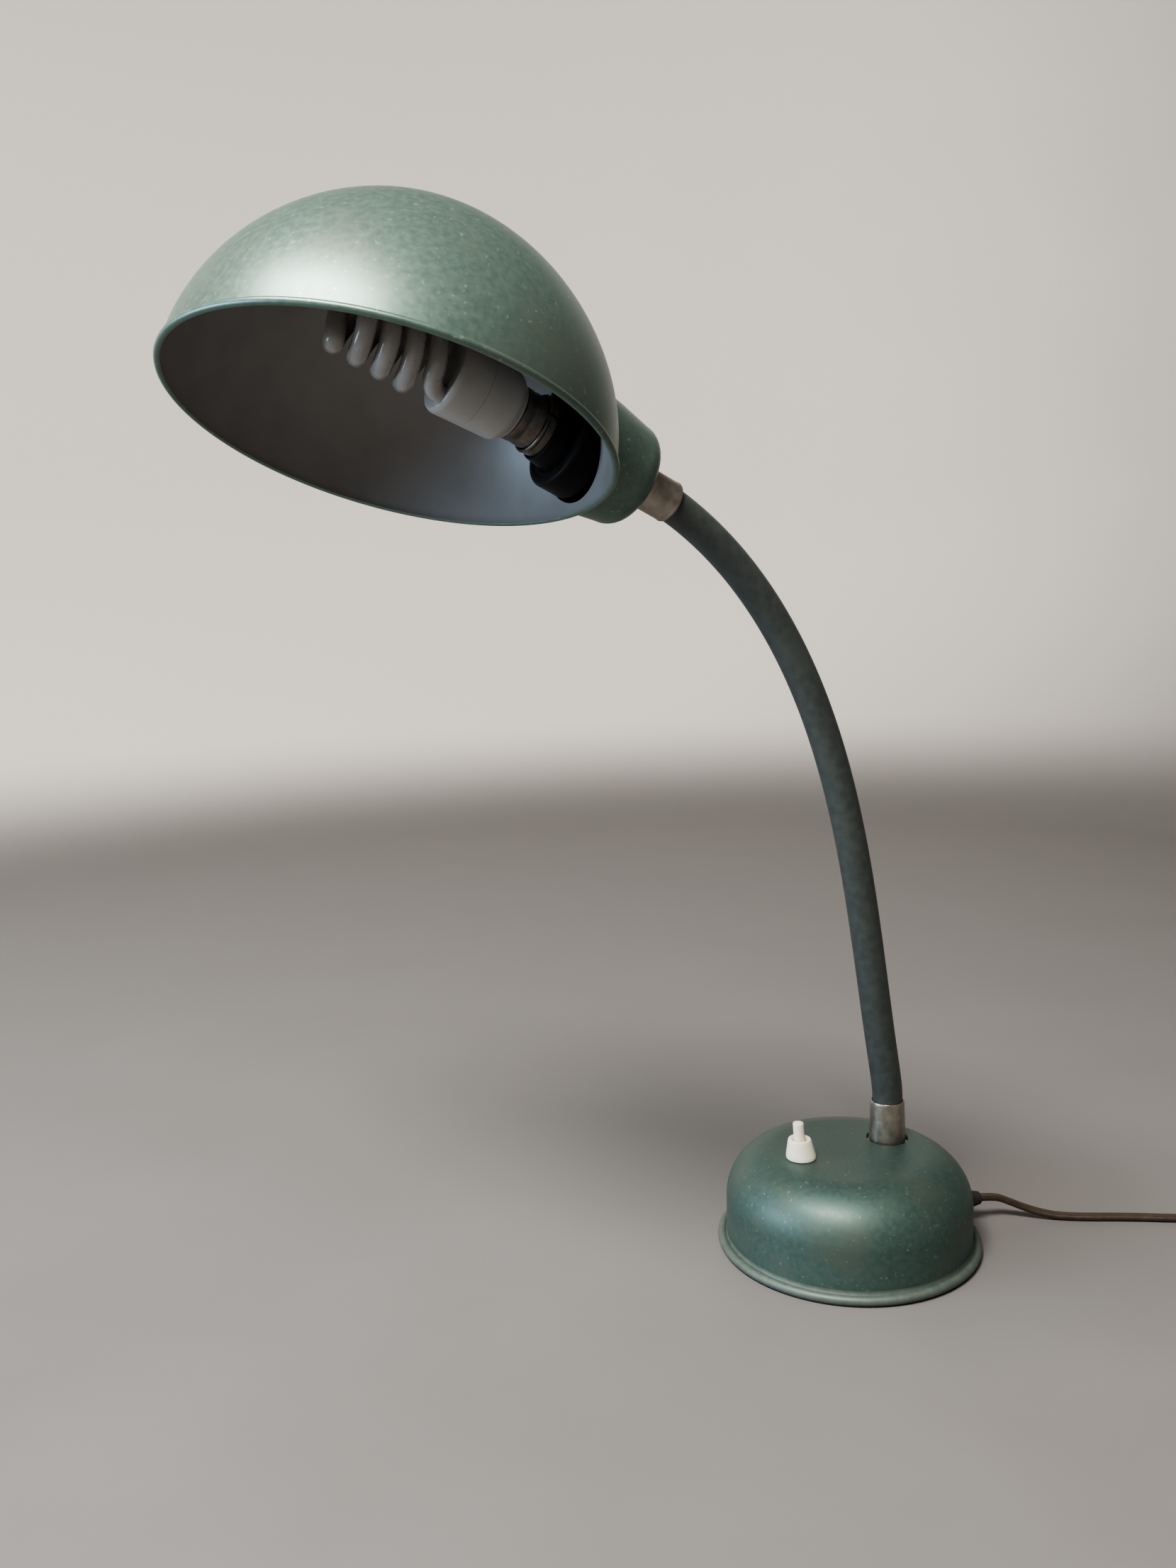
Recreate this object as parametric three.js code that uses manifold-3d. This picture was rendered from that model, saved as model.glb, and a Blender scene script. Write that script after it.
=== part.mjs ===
// Gooseneck desk lamp: a weighted round base with a push switch, a bendable neck and a dome shade
// that carries a bayonet lampholder in a cup at its side. Millimetres, +Z up, origin at the middle
// of the base's underside. The neck's rest curve lies in the XZ plane and the head hangs towards -X.
import * as THREE from "three";
import Module from "manifold-3d";
import { mergeVertices } from "three/addons/utils/BufferGeometryUtils.js";

const wasm = await Module();
wasm.setup();

// Driving dimensions.
const GAP = 0.3; // clearance between pieces that touch

const SHEET = 1.2; // pressed steel of the base shell
const BASE_RADIUS = 60.5; // shell wall
const BASE_HEIGHT = 48;
const SHOULDER_RADIUS = 25; // round edge between wall and top
const BEAD_RADIUS = 2.2; // rolled bead along the shell's foot
const BEAD_CENTRE = [62.8, 2.5];
const FELT = { radius: 49, thickness: 1.5 };
const PLATE = { bottom: 1.8, top: 3.0, radius: 58.9 };
const WEIGHT = { radius: 48.5, bottom: 3.3, top: 22 };
const LUG = { inner: 51, width: 9, bottom: 3.3, top: 12, screwRing: 54.5 };
const LUG_ANGLES = [60, 180, 300]; // degrees round the base

const FOOT_X = 25.6; // where the neck stands on the base
const FERRULE_HEIGHT = 20.2; // above the base's top
const NECK_START = 70; // height at which the neck starts to bend
const SWITCH = { x: -25.7, y: 4.5, travel: 3.5 };
const CORD_ANGLE = -16.7; // degrees, where the cord leaves the base wall
const CORD_Z = 12.5;
const HOLES = { neck: 10, switch: 5.9, cord: 4.3, lugScrew: 1.8 }; // radii in the shell

const NECK_LENGTH = 343; // from the foot ferrule's mouth to the back of the shade cup
const NECK_RADIUS = 7.5;
const NECK_LEAN = [12.2, -31.4, 89.8, -5.6]; // degrees from vertical, as a cubic of the way along
const NECK_TURN = 2.3; // degrees that the neck's end has swung out of the XZ plane
const NECK_SETTLE = 6; // length over which the neck leaves the upright ferrule
const CORE_RADIUS = 6;
const CORE_BORE = 4;
const SLEEVE_BORE = 6.3;
const HINGES = 9; // the flexible neck's bending places
const FIRST_HINGE = 16; // along the neck
const LAST_HINGE = 314;
const HINGE_SLOT = 3; // open length between two links

const HEAD_ROLL = 8.7; // degrees, the shade's roll about the neck's end
const SHADE_RADIUS = 84.6; // outside of the sheet at the rim
const SHADE_HEIGHT = 83.3;
const SHADE_SHEET = 1.0;
const SHADE_ROUNDNESS = 1.88; // 2 is an ellipse
const SHADE_BEAD = 1.4;
const SHADE_AXIS_X = 116.2; // where the shade's axis crosses the holder's axis
const SHADE_AXIS_DROP = 31.5; // rim plane below that crossing
const SHADE_LEAN = 4.2; // degrees between the rim plane and the holder's axis
const CUP = { back: 6, backRadius: 21.9, mouthRadius: 25, corner: 9, sheet: 1.2, length: 60 };
const CUP_OPENING = 21.2; // hole radius in the shade, inside the cup
const PIN_SLOT = { start: 46.4, end: 61, width: 2.8 }; // bayonet slots in the holder's sleeve
const SPIRAL = { radius: 11.3, tube: 3.8, leg: 101.6, start: 107, end: 144.5, turns: 1.9, phase: 130 };

const CORD_RADIUS = 2.2;
const COIL = { x: 171.3, y: -127, inner: 18, outer: 45.2, bottom: 1, top: 7.4 };
const PLUG = { width: 35, length: 32, thickness: 13.6, x: 253.3, y: -160.2, turn: -37 };
const PIN = { radius: 2, length: 19, spacing: 19 };
const TIE = { angle: 200, width: 5, thickness: 0.6 };

const radians = THREE.MathUtils.degToRad;

// Shape helpers. Every profile point is [radius, height].
function lathe(profile, sides = 32) {
  const points = profile.map(([r, h]) => new THREE.Vector2(r, h));
  return new THREE.LatheGeometry(points, sides).rotateX(Math.PI / 2);
}

function latheAlongX(profile, sides = 32) {
  return lathe(profile, sides).rotateZ(Math.PI / 2).rotateY(Math.PI / 2);
}

function ring(inner, outer, bottom, top, sides = 24) {
  return lathe([[inner, bottom], [outer, bottom], [outer, top], [inner, top], [inner, bottom]], sides);
}

function rod(radius, bottom, top, sides = 16) {
  return lathe([[0, bottom], [radius, bottom], [radius, top], [0, top]], sides);
}

function arc([cx, cy], radius, from, to, steps) {
  const points = [];
  for (let i = 0; i <= steps; i++) {
    const a = radians(from + ((to - from) * i) / steps);
    points.push([cx + radius * Math.cos(a), cy + radius * Math.sin(a)]);
  }
  return points;
}

function box(width, depth, bottom, top) {
  return new THREE.BoxGeometry(width, depth, top - bottom).translate(0, 0, (top + bottom) / 2);
}

function hexNut(acrossFlats, bore, bottom, top) {
  const shape = new THREE.Shape();
  for (let i = 0; i < 6; i++) {
    const a = radians(60 * i);
    const r = acrossFlats / 2 / Math.cos(Math.PI / 6);
    shape[i ? "lineTo" : "moveTo"](r * Math.cos(a), r * Math.sin(a));
  }
  shape.holes.push(new THREE.Path().absarc(0, 0, bore, 0, 2 * Math.PI, true));
  const options = { depth: top - bottom, bevelEnabled: false, curveSegments: 8 };
  return new THREE.ExtrudeGeometry(shape, options).translate(0, 0, bottom);
}

function tube(points, outer, bore, sides, steps) {
  const section = new THREE.Shape();
  section.absarc(0, 0, outer, 0, 2 * Math.PI, false);
  if (bore > 0) {
    section.holes.push(new THREE.Path().absarc(0, 0, bore, 0, 2 * Math.PI, true));
  }
  const extrudePath = new THREE.CatmullRomCurve3(points);
  return new THREE.ExtrudeGeometry(section, { extrudePath, steps, curveSegments: sides });
}

// Joins and cuts.
function solid(geometry) {
  const bare = geometry.clone();
  bare.deleteAttribute("normal");
  bare.deleteAttribute("uv");
  const merged = mergeVertices(bare, 1e-4);
  const vertProperties = new Float32Array(merged.attributes.position.array);
  const corners = Array.from(merged.index.array);
  const triVerts = [];
  for (let i = 0; i < corners.length; i += 3) {
    const [a, b, c] = corners.slice(i, i + 3);
    if (a !== b && b !== c && c !== a) triVerts.push(a, b, c);
  }
  return new wasm.Manifold(
    new wasm.Mesh({ numProp: 3, vertProperties, triVerts: new Uint32Array(triVerts) })
  );
}

function geometryOf(manifold) {
  const mesh = manifold.getMesh();
  const geometry = new THREE.BufferGeometry();
  geometry.setAttribute("position", new THREE.BufferAttribute(mesh.vertProperties, 3));
  geometry.setIndex(new THREE.BufferAttribute(mesh.triVerts, 1));
  geometry.computeVertexNormals();
  return geometry;
}

function joined(first, ...others) {
  return geometryOf(others.reduce((body, other) => body.add(solid(other)), solid(first)));
}

function cut(body, ...tools) {
  return geometryOf(tools.reduce((rest, tool) => rest.subtract(solid(tool)), solid(body)));
}

// Finishes.
const finish = (color, roughness, metalness) =>
  new THREE.MeshStandardMaterial({ color, roughness, metalness });
const finishes = {
  green: finish(0x5c7f6d, 0.4, 0.5),
  steel: finish(0x8a8a86, 0.45, 0.9),
  iron: finish(0x4a4a4a, 0.8, 0.6),
  felt: finish(0x3a4038, 1.0, 0.0),
  nickel: finish(0x8f8478, 0.35, 0.9),
  ivory: finish(0xe8e0cc, 0.45, 0.0),
  sleeve: finish(0x3f4a47, 0.55, 0.0),
  bakelite: finish(0x151210, 0.35, 0.0),
  brass: finish(0xb08d4c, 0.35, 0.9),
  white: finish(0xf0efea, 0.4, 0.0),
  glass: finish(0xf4f3ee, 0.25, 0.0),
  brownCord: finish(0x4a3626, 0.6, 0.0),
  rubber: finish(0x1c1a18, 0.8, 0.0),
};

const lamp = new THREE.Group();
const head = new THREE.Group();
lamp.add(head);

function add(name, geometry, finishName, place = {}) {
  const mesh = new THREE.Mesh(geometry, finishes[finishName].clone());
  mesh.name = name;
  mesh.position.set(place.x ?? 0, place.y ?? 0, place.z ?? 0);
  mesh.rotation.z = radians(place.turn ?? 0);
  (place.group ?? lamp).add(mesh);
  return mesh;
}

function onRing(radius, degrees) {
  return { x: radius * Math.cos(radians(degrees)), y: radius * Math.sin(radians(degrees)) };
}

// Base: shell, felt, plate, ballast weight and their fasteners.
function baseShell() {
  const shoulder = [BASE_RADIUS - SHOULDER_RADIUS, BASE_HEIGHT - SHOULDER_RADIUS];
  const profile = [
    [0, BASE_HEIGHT - SHEET],
    ...arc(shoulder, SHOULDER_RADIUS - SHEET, 90, 0, 5),
    [BASE_RADIUS - SHEET, 0.8],
    [BASE_RADIUS - 0.3, GAP],
    ...arc(BEAD_CENTRE, BEAD_RADIUS, -90, 150, 5),
    [BASE_RADIUS, BEAD_CENTRE[1] + BEAD_RADIUS],
    ...arc(shoulder, SHOULDER_RADIUS, 0, 90, 5),
    [0, BASE_HEIGHT],
  ];
  let shell = solid(lathe(profile, 40));
  const middle = (LUG.inner + BASE_RADIUS - SHEET / 2) / 2;
  const lugLength = BASE_RADIUS - SHEET / 2 - LUG.inner;
  for (const angle of LUG_ANGLES) {
    const spot = onRing(middle, angle);
    const lug = box(lugLength, LUG.width, LUG.bottom, LUG.top).rotateZ(radians(angle));
    const hole = onRing(LUG.screwRing, angle);
    shell = shell.add(solid(lug.translate(spot.x, spot.y, 0)));
    shell = shell.subtract(solid(rod(HOLES.lugScrew, 2, 10.5, 12).translate(hole.x, hole.y, 0)));
  }
  const throughTop = (radius, sides) => rod(radius, BASE_HEIGHT - 4, BASE_HEIGHT + 4, sides);
  const neckHole = throughTop(HOLES.neck, 32).translate(FOOT_X, 0, 0);
  const switchHole = throughTop(HOLES.switch, 24).translate(SWITCH.x, SWITCH.y, 0);
  const cordHole = latheAlongX([[0, 55], [HOLES.cord, 55], [HOLES.cord, 65], [0, 65]], 16)
    .translate(0, 0, CORD_Z)
    .rotateZ(radians(CORD_ANGLE));
  return geometryOf([neckHole, switchHole, cordHole].reduce((s, h) => s.subtract(solid(h)), shell));
}

function basePlate() {
  const countersunk = [
    [3.4, PLATE.top],
    [6.0, PLATE.bottom],
    [PLATE.radius, PLATE.bottom],
    [PLATE.radius, PLATE.top],
    [3.4, PLATE.top],
  ];
  const screwHoles = LUG_ANGLES.map((angle) => {
    const spot = onRing(LUG.screwRing, angle);
    return rod(HOLES.lugScrew, 0, 6, 12).translate(spot.x, spot.y, 0);
  });
  return cut(lathe(countersunk, 40), ...screwHoles);
}

add("base_shell", baseShell(), "green");
add("felt_pad", rod(FELT.radius, 0, FELT.thickness, 40), "felt");
add("base_plate", basePlate(), "steel");
add("ballast_weight", ring(3.4, WEIGHT.radius, WEIGHT.bottom, WEIGHT.top, 40), "iron");
const boltProfile = [[0, 1.85], [5.6, 1.85], [3.1, PLATE.top], [3.1, 28], [0, 28]];
add("ballast_bolt", lathe(boltProfile, 16), "steel");
add("ballast_nut", hexNut(10, 3.4, WEIGHT.top + GAP, WEIGHT.top + 5.3), "steel");
LUG_ANGLES.forEach((angle, i) => {
  const screw = lathe([[0, 0.4], [3, 0.4], [3, 1.5], [1.5, 1.5], [1.5, 9.5], [0, 9.5]], 12);
  add(`plate_screw_${i + 1}`, screw, "steel", onRing(LUG.screwRing, angle));
});

// Foot of the neck: ferrule through the shell, clamped to a plate by a threaded tube and its nut.
const ferruleBottom = BASE_HEIGHT - SHEET;
const ferruleTop = BASE_HEIGHT + FERRULE_HEIGHT;
const footFerrule = [
  [5.2, ferruleBottom],
  [9.1, ferruleBottom],
  [9.1, BASE_HEIGHT + 1],
  [8.4, ferruleTop - 0.6],
  [8.2, ferruleTop],
  [7.8, ferruleTop],
  [7.8, BASE_HEIGHT + 7],
  [5.2, BASE_HEIGHT + 7],
  [5.2, ferruleBottom],
];
add("foot_ferrule", lathe(footFerrule, 28), "nickel", { x: FOOT_X });
add("foot_plate", ring(5.2, 11.2, 44.2, 46.4, 28), "steel", { x: FOOT_X });
add("foot_nut", hexNut(17, 5.2, 39.8, 43.9), "steel", { x: FOOT_X });
add("foot_threaded_tube", ring(3.4, 4.8, 35, 56, 16), "steel", { x: FOOT_X });

// Push switch: body with a threaded snout, ivory collar that screws on it, plunger and spring.
const atSwitch = { x: SWITCH.x, y: SWITCH.y };
const switchBody = cut(joined(box(22, 17, 27, 45.5), rod(5.3, 40, 53.5, 20)), rod(3.1, 31, 60, 16));
add("switch_body", switchBody, "bakelite", atSwitch);
const collarTop = BASE_HEIGHT + 10;
const collar = [
  [5.6, BASE_HEIGHT + GAP],
  [7.3, BASE_HEIGHT + GAP],
  [7.3, BASE_HEIGHT + 1.6],
  [5.9, collarTop - 1],
  [5.2, collarTop],
  [4.3, collarTop],
  [3.4, collarTop - 1.2],
  [3.1, BASE_HEIGHT + 6.5],
  [5.6, BASE_HEIGHT + 5.8],
  [5.6, BASE_HEIGHT + GAP],
];
add("switch_collar", lathe(collar, 24), "ivory", atSwitch);
const plungerTop = collarTop + 4.8 + SWITCH.travel;
const plunger = [
  [0, 42],
  [2.65, 42],
  [2.65, plungerTop - 0.8],
  [2.0, plungerTop],
  [0, plungerTop],
];
add("switch_plunger", lathe(plunger, 20), "ivory", atSwitch);
const springTurns = 4;
const springPoints = [];
for (let i = 0; i <= springTurns * 8; i++) {
  const a = (i * Math.PI) / 4;
  const z = 31.8 + (9.4 * i) / (springTurns * 8);
  springPoints.push(new THREE.Vector3(2.2 * Math.cos(a), 2.2 * Math.sin(a), z));
}
add("switch_spring", tube(springPoints, 0.3, 0, 3, springTurns * 8), "steel", atSwitch);

// Neck: its centre line, and the links that stand for the flexible sleeve and its steel core.
function neckDirection(s) {
  const t = s / NECK_LENGTH;
  const [a, b, c, d] = NECK_LEAN;
  const lean = radians(a + b * t + c * t * t + d * t * t * t - a * Math.exp(-s / NECK_SETTLE));
  const turn = radians(NECK_TURN) * t * t;
  const level = Math.sin(lean);
  return new THREE.Vector3(-Math.cos(turn) * level, -Math.sin(turn) * level, Math.cos(lean));
}

const neckLine = [new THREE.Vector3(FOOT_X, 0, NECK_START)];
const neckSteps = 686;
const neckStep = NECK_LENGTH / neckSteps;
for (let i = 0; i < neckSteps; i++) {
  neckLine.push(neckLine[i].clone().addScaledVector(neckDirection((i + 0.5) * neckStep), neckStep));
}

function neckPoint(s) {
  if (s < 0) return new THREE.Vector3(FOOT_X, 0, NECK_START + s);
  return neckLine[Math.round(s / neckStep)].clone();
}

function neckStretch(from, to, outer, bore) {
  const count = 2;
  const points = [];
  for (let i = 0; i <= count; i++) points.push(neckPoint(from + ((to - from) * i) / count));
  return tube(points, outer, bore, 6, count);
}

const hingePitch = (LAST_HINGE - FIRST_HINGE) / (HINGES - 1);
const linkName = (i) => (i < HINGES ? `${i}` : "end");
for (let i = 0; i <= HINGES; i++) {
  const hinge = FIRST_HINGE + i * hingePitch;
  const from = i === 0 ? -13 : hinge - hingePitch + HINGE_SLOT / 2;
  const to = i === HINGES ? NECK_LENGTH - 3.2 : hinge - HINGE_SLOT / 2;
  add(`neck_sleeve_${linkName(i)}`, neckStretch(from, to, NECK_RADIUS, SLEEVE_BORE), "sleeve");
  add(`neck_core_${linkName(i)}`, neckStretch(from, to, CORE_RADIUS, CORE_BORE), "steel");
}

// Head: placed at the neck's end, with its own +X into the shade and +Z up through it.
const along = neckDirection(NECK_LENGTH);
const upright = new THREE.Vector3(0, 0, 1).projectOnPlane(along).normalize();
upright.applyAxisAngle(along, radians(HEAD_ROLL));
const across = new THREE.Vector3().crossVectors(upright, along);
head.quaternion.setFromRotationMatrix(new THREE.Matrix4().makeBasis(along, across, upright));
head.position.copy(neckPoint(NECK_LENGTH));
const inHead = { group: head };

const ferruleBack = CUP.back - GAP;
const headFerrule = [
  [5.2, ferruleBack],
  [5.2, -2.2],
  [8.3, -2.2],
  [8.3, -13],
  [8.8, -13],
  [9.1, -12.2],
  [8.9, -11.2],
  [8.9, ferruleBack],
  [5.2, ferruleBack],
];
add("head_ferrule", latheAlongX(headFerrule, 28), "nickel", inHead);
add("head_threaded_tube", latheAlongX([[3.4, -2], [4.8, -2], [4.8, 15], [3.4, 15], [3.4, -2]], 16),
  "steel", inHead);
const nutBack = CUP.back + CUP.sheet + GAP;
const headNut = hexNut(15, 5.2, nutBack, nutBack + 3.2).rotateZ(Math.PI / 2).rotateY(Math.PI / 2);
add("head_nut", headNut, "steel", inHead);

// Shade: a dome of revolution, given in its own frame with the rim plane at height 0.
function domeOutline(radius, height, steps) {
  const points = [];
  for (let i = 0; i <= steps; i++) {
    const a = (i * Math.PI) / 2 / steps;
    const r = radius * Math.cos(a) ** (2 / SHADE_ROUNDNESS);
    points.push([i === steps ? 0 : r, height * Math.sin(a) ** (2 / SHADE_ROUNDNESS)]);
  }
  return points;
}

function inShade(geometry) {
  return geometry
    .translate(0, 0, -SHADE_AXIS_DROP)
    .rotateY(radians(SHADE_LEAN))
    .translate(SHADE_AXIS_X, 0, 0);
}

function shadeDome() {
  const inner = domeOutline(SHADE_RADIUS - SHADE_SHEET, SHADE_HEIGHT - SHADE_SHEET, 9).reverse();
  const bead = arc([SHADE_RADIUS, 0], SHADE_BEAD, -150, 90, 4);
  const dome = lathe([...inner, ...bead, ...domeOutline(SHADE_RADIUS, SHADE_HEIGHT, 9).slice(1)], 48);
  const opening = latheAlongX([[0, 2], [CUP_OPENING, 2], [CUP_OPENING, 75], [0, 75]], 32);
  return cut(inShade(dome), opening);
}

function shadeCup() {
  const { back, backRadius, mouthRadius, corner, sheet, length } = CUP;
  const profile = [
    [5.2, back],
    ...arc([backRadius - corner, back + corner], corner, -90, 0, 4),
    [mouthRadius, 34],
    [mouthRadius, length],
    [mouthRadius - sheet, length],
    [mouthRadius - sheet, 34],
    ...arc([backRadius - corner, back + corner], corner - sheet, 0, -90, 4),
    [5.2, back + sheet],
    [5.2, back],
  ];
  const grown = [[0, -14], [SHADE_RADIUS + SHADE_BEAD + GAP, -14], [SHADE_RADIUS + SHADE_BEAD + GAP, 1.6]];
  const cover = lathe([...grown, ...domeOutline(SHADE_RADIUS + GAP, SHADE_HEIGHT + GAP, 9).slice(1)], 48);
  return cut(latheAlongX(profile, 40), inShade(cover));
}

add("shade_dome", shadeDome(), "green", inHead);
add("shade_cup", shadeCup(), "green", inHead);

// Bayonet lampholder: body on the threaded tube, skirt ring over it, metal sleeve and two contacts.
const holderBack = nutBack + 3.2 + GAP;
const holderBody = [
  [5.2, holderBack],
  [9, holderBack],
  [14.5, holderBack + 6],
  [14.5, 46],
  [13.2, 54.4],
  [12.4, 54.4],
  [12.4, 33],
  [5.2, 28],
  [5.2, holderBack],
];
add("holder_body", latheAlongX(holderBody, 28), "bakelite", inHead);
const skirt = [[14.9, 33], [19.6, 33], [20.6, 34], [20.6, 45.3], [19.4, 46.5], [14.9, 46.5], [14.9, 33]];
add("holder_skirt", latheAlongX(skirt, 32), "bakelite", inHead);
const sleeve = latheAlongX([[11.3, 37], [12.1, 37], [12.1, 59.2], [11.3, 59.2], [11.3, 37]], 24);
const pinSlot = box(PIN_SLOT.end - PIN_SLOT.start, 40, -PIN_SLOT.width / 2, PIN_SLOT.width / 2);
add("holder_sleeve", cut(sleeve, pinSlot.translate((PIN_SLOT.end + PIN_SLOT.start) / 2, 0, 0)),
  "nickel", inHead);
[-5, 5].forEach((y, i) => {
  const contact = latheAlongX([[0, 33.5], [2, 33.5], [2, 40], [1.2, 41.2], [0, 41.2]], 10);
  add(`holder_contact_${i + 1}`, contact.translate(0, y, 0), "brass", inHead);
});

// Compact lamp: bayonet cap with its two pins, ballast housing and a double spiral tube.
const capProfile = [[0, 41.6], [10.3, 41.6], [10.9, 43], [10.9, 68.7], [0, 68.7]];
const capPins = rod(1, -11.9, 11.9, 12).rotateX(Math.PI / 2).translate(48, 0, 0);
add("bulb_cap", joined(latheAlongX(capProfile, 24), capPins), "nickel", inHead);
const housing = [
  [0, 68.7 + GAP],
  [11.3, 68.7 + GAP],
  [14.4, 73],
  [15.9, 98.6],
  [15.2, 100.4],
  [0, 100.4],
];
add("bulb_housing", latheAlongX(housing, 28), "white", inHead);

function spiralPoints() {
  const perTurn = 12;
  const count = Math.round(SPIRAL.turns * perTurn);
  const rise = (SPIRAL.end - SPIRAL.start) / count;
  const at = (x, a) => new THREE.Vector3(x, SPIRAL.radius * Math.cos(a), SPIRAL.radius * Math.sin(a));
  const strand = (phase) => {
    const turns = Array.from({ length: count + 1 }, (_, i) =>
      at(SPIRAL.start + i * rise, phase + (i * 2 * Math.PI * SPIRAL.turns) / count));
    return [at(SPIRAL.leg, phase - 0.4), at(SPIRAL.leg + 2.4, phase - 0.35), ...turns];
  };
  const tip = new THREE.Vector3(SPIRAL.end + 1.5, 0, 0);
  const first = radians(SPIRAL.phase);
  return [...strand(first), tip, ...strand(first + Math.PI).reverse()];
}
add("bulb_tube", tube(spiralPoints(), SPIRAL.tube, 0, 4, 68), "glass", inHead);

// Cord: bush in the base wall, inner leads, the run to the coil, the coil, its tie and the plug.
const bush = [
  [2.6, 55],
  [4.0, 55],
  [4.0, 61],
  [5.4, 61.2],
  [5.2, 63],
  [3.2, 72],
  [2.6, 72],
  [2.6, 55],
];
const bushGeometry = latheAlongX(bush, 16).translate(0, 0, CORD_Z).rotateZ(radians(CORD_ANGLE));
add("cord_bush", bushGeometry, "rubber");

const along3 = (points) => points.map(([x, y, z]) => new THREE.Vector3(x, y, z));
const supplyLead = along3([
  [50.5, -15.2, 12.5],
  [50.5, -15.2, 18.5],
  [45, -13.5, 27],
  [22, -10, 31],
  [-12, 1, 31],
]);
add("supply_lead", tube(supplyLead, 1.7, 0, 4, 14), "brownCord");
const neckLead = along3([[-14.2, 8, 34], [-6, 9, 33], [8, 7, 32], [21, 2, 31], [FOOT_X, 0, 34.4]]);
add("neck_lead", tube(neckLead, 1.5, 0, 4, 14), "brownCord");

const cordRun = along3([
  [69.3, -20.9, 12.5],
  [74, -22.2, 12.1],
  [79, -23.9, 11],
  [84.6, -26.8, 8.6],
  [90.3, -30.4, 6],
  [96.3, -34.8, 3.8],
  [102.4, -39.6, 2.7],
  [109, -44.6, 2.6],
  [117, -50.3, 2.6],
  [127.5, -57.1, 2.6],
  [138.5, -64.6, 2.6],
  [148.5, -71.9, 2.6],
  [157.6, -77.9, 2.6],
]);
add("cord_run", tube(cordRun, CORD_RADIUS, 0, 4, 28), "brownCord");
add("cord_coil", ring(COIL.inner, COIL.outer, COIL.bottom, COIL.top, 40), "brownCord",
  { x: COIL.x, y: COIL.y });

// Cord tie: a band round the turns of the coil.
const bundle = COIL.outer - COIL.inner + 2 * GAP;
const bandOuter = box(bundle + 2 * TIE.thickness, TIE.width, COIL.bottom - GAP - TIE.thickness,
  COIL.top + GAP + TIE.thickness);
const bandInner = box(bundle, TIE.width + 2, COIL.bottom - GAP, COIL.top + GAP);
const tieSpot = onRing((COIL.inner + COIL.outer) / 2, TIE.angle);
add("cord_tie", cut(bandOuter, bandInner), "rubber",
  { x: COIL.x + tieSpot.x, y: COIL.y + tieSpot.y, turn: TIE.angle });

// Plug: a flat two-pin body lying on the table, its pins pointing away from the coil.
const cordTail = along3([
  [219.6, -125.6, 4],
  [222.5, -130.4, 3.6],
  [228.1, -138.1, 4.2],
  [233.9, -144.8, 5.9],
  [240.3, -150.4, 6.8],
]);
add("cord_tail", tube(cordTail, CORD_RADIUS, 0, 4, 10), "brownCord");
function plugBody() {
  const half = PLUG.width / 2;
  const nose = PLUG.length / 2;
  const outline = new THREE.Shape();
  outline.moveTo(nose, -half);
  outline.lineTo(nose, half);
  outline.lineTo(nose - 14, half);
  outline.quadraticCurveTo(-2, half - 1, -8, half - 9);
  outline.lineTo(-nose, 5);
  outline.lineTo(-nose, -5);
  outline.lineTo(-8, 9 - half);
  outline.quadraticCurveTo(-2, 1 - half, nose - 14, -half);
  const options = { depth: PLUG.thickness, bevelEnabled: false, curveSegments: 4 };
  return new THREE.ExtrudeGeometry(outline, options);
}
const atPlug = { x: PLUG.x, y: PLUG.y, turn: PLUG.turn };
add("plug_body", plugBody(), "brownCord", atPlug);
[-1, 1].forEach((side, i) => {
  const pin = latheAlongX([[0, 0], [PIN.radius, 0], [PIN.radius, PIN.length - 1], [1, PIN.length],
    [0, PIN.length]], 12);
  const place = pin.translate(PLUG.length / 2 + GAP, (side * PIN.spacing) / 2, PLUG.thickness / 2);
  add(`plug_pin_${i + 1}`, place, "nickel", atPlug);
});

export default lamp;
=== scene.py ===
"""Vintage gooseneck desk lamp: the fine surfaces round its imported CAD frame.

Metres, +Z up, origin at the middle of the base's underside. Shapes are written in millimetres and
scaled as they are made. A turned piece's profile is a list of (radius, station along its axis), and
a third number there rounds that corner.
"""

import itertools
import math

import bmesh
import bpy
import numpy as np
from mathutils import Matrix, Vector


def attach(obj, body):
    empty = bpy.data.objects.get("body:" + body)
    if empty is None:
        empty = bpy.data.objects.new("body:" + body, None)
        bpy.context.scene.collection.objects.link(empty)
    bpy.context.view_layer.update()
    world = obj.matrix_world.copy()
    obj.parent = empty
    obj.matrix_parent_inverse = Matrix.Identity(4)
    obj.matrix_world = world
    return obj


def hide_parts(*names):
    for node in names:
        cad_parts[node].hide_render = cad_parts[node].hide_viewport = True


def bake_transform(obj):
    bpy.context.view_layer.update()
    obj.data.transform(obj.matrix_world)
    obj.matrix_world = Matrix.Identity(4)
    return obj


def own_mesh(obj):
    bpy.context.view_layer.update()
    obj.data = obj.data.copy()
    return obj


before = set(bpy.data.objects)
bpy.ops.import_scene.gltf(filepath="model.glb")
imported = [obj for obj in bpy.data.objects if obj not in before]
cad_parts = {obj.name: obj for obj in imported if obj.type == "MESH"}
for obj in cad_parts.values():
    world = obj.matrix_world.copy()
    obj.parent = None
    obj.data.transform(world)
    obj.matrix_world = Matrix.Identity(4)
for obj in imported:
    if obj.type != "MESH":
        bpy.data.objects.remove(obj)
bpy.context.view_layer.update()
MM = 0.001


def unit(v):
    return np.asarray(v, float) / np.linalg.norm(v)


# ---------------------------------------------------------------- camera and light
CAMERA_PLACE = (-0.41116, -0.48572, 0.3301)
CAMERA_ANGLES = (60.99, 8.604, -1.71)  # heading, pitch below the level, and roll, in degrees
LENS, SENSOR = 30.38, 36
LAMP_MIDDLE = Vector((-0.06, 0, 0.22))


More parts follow.
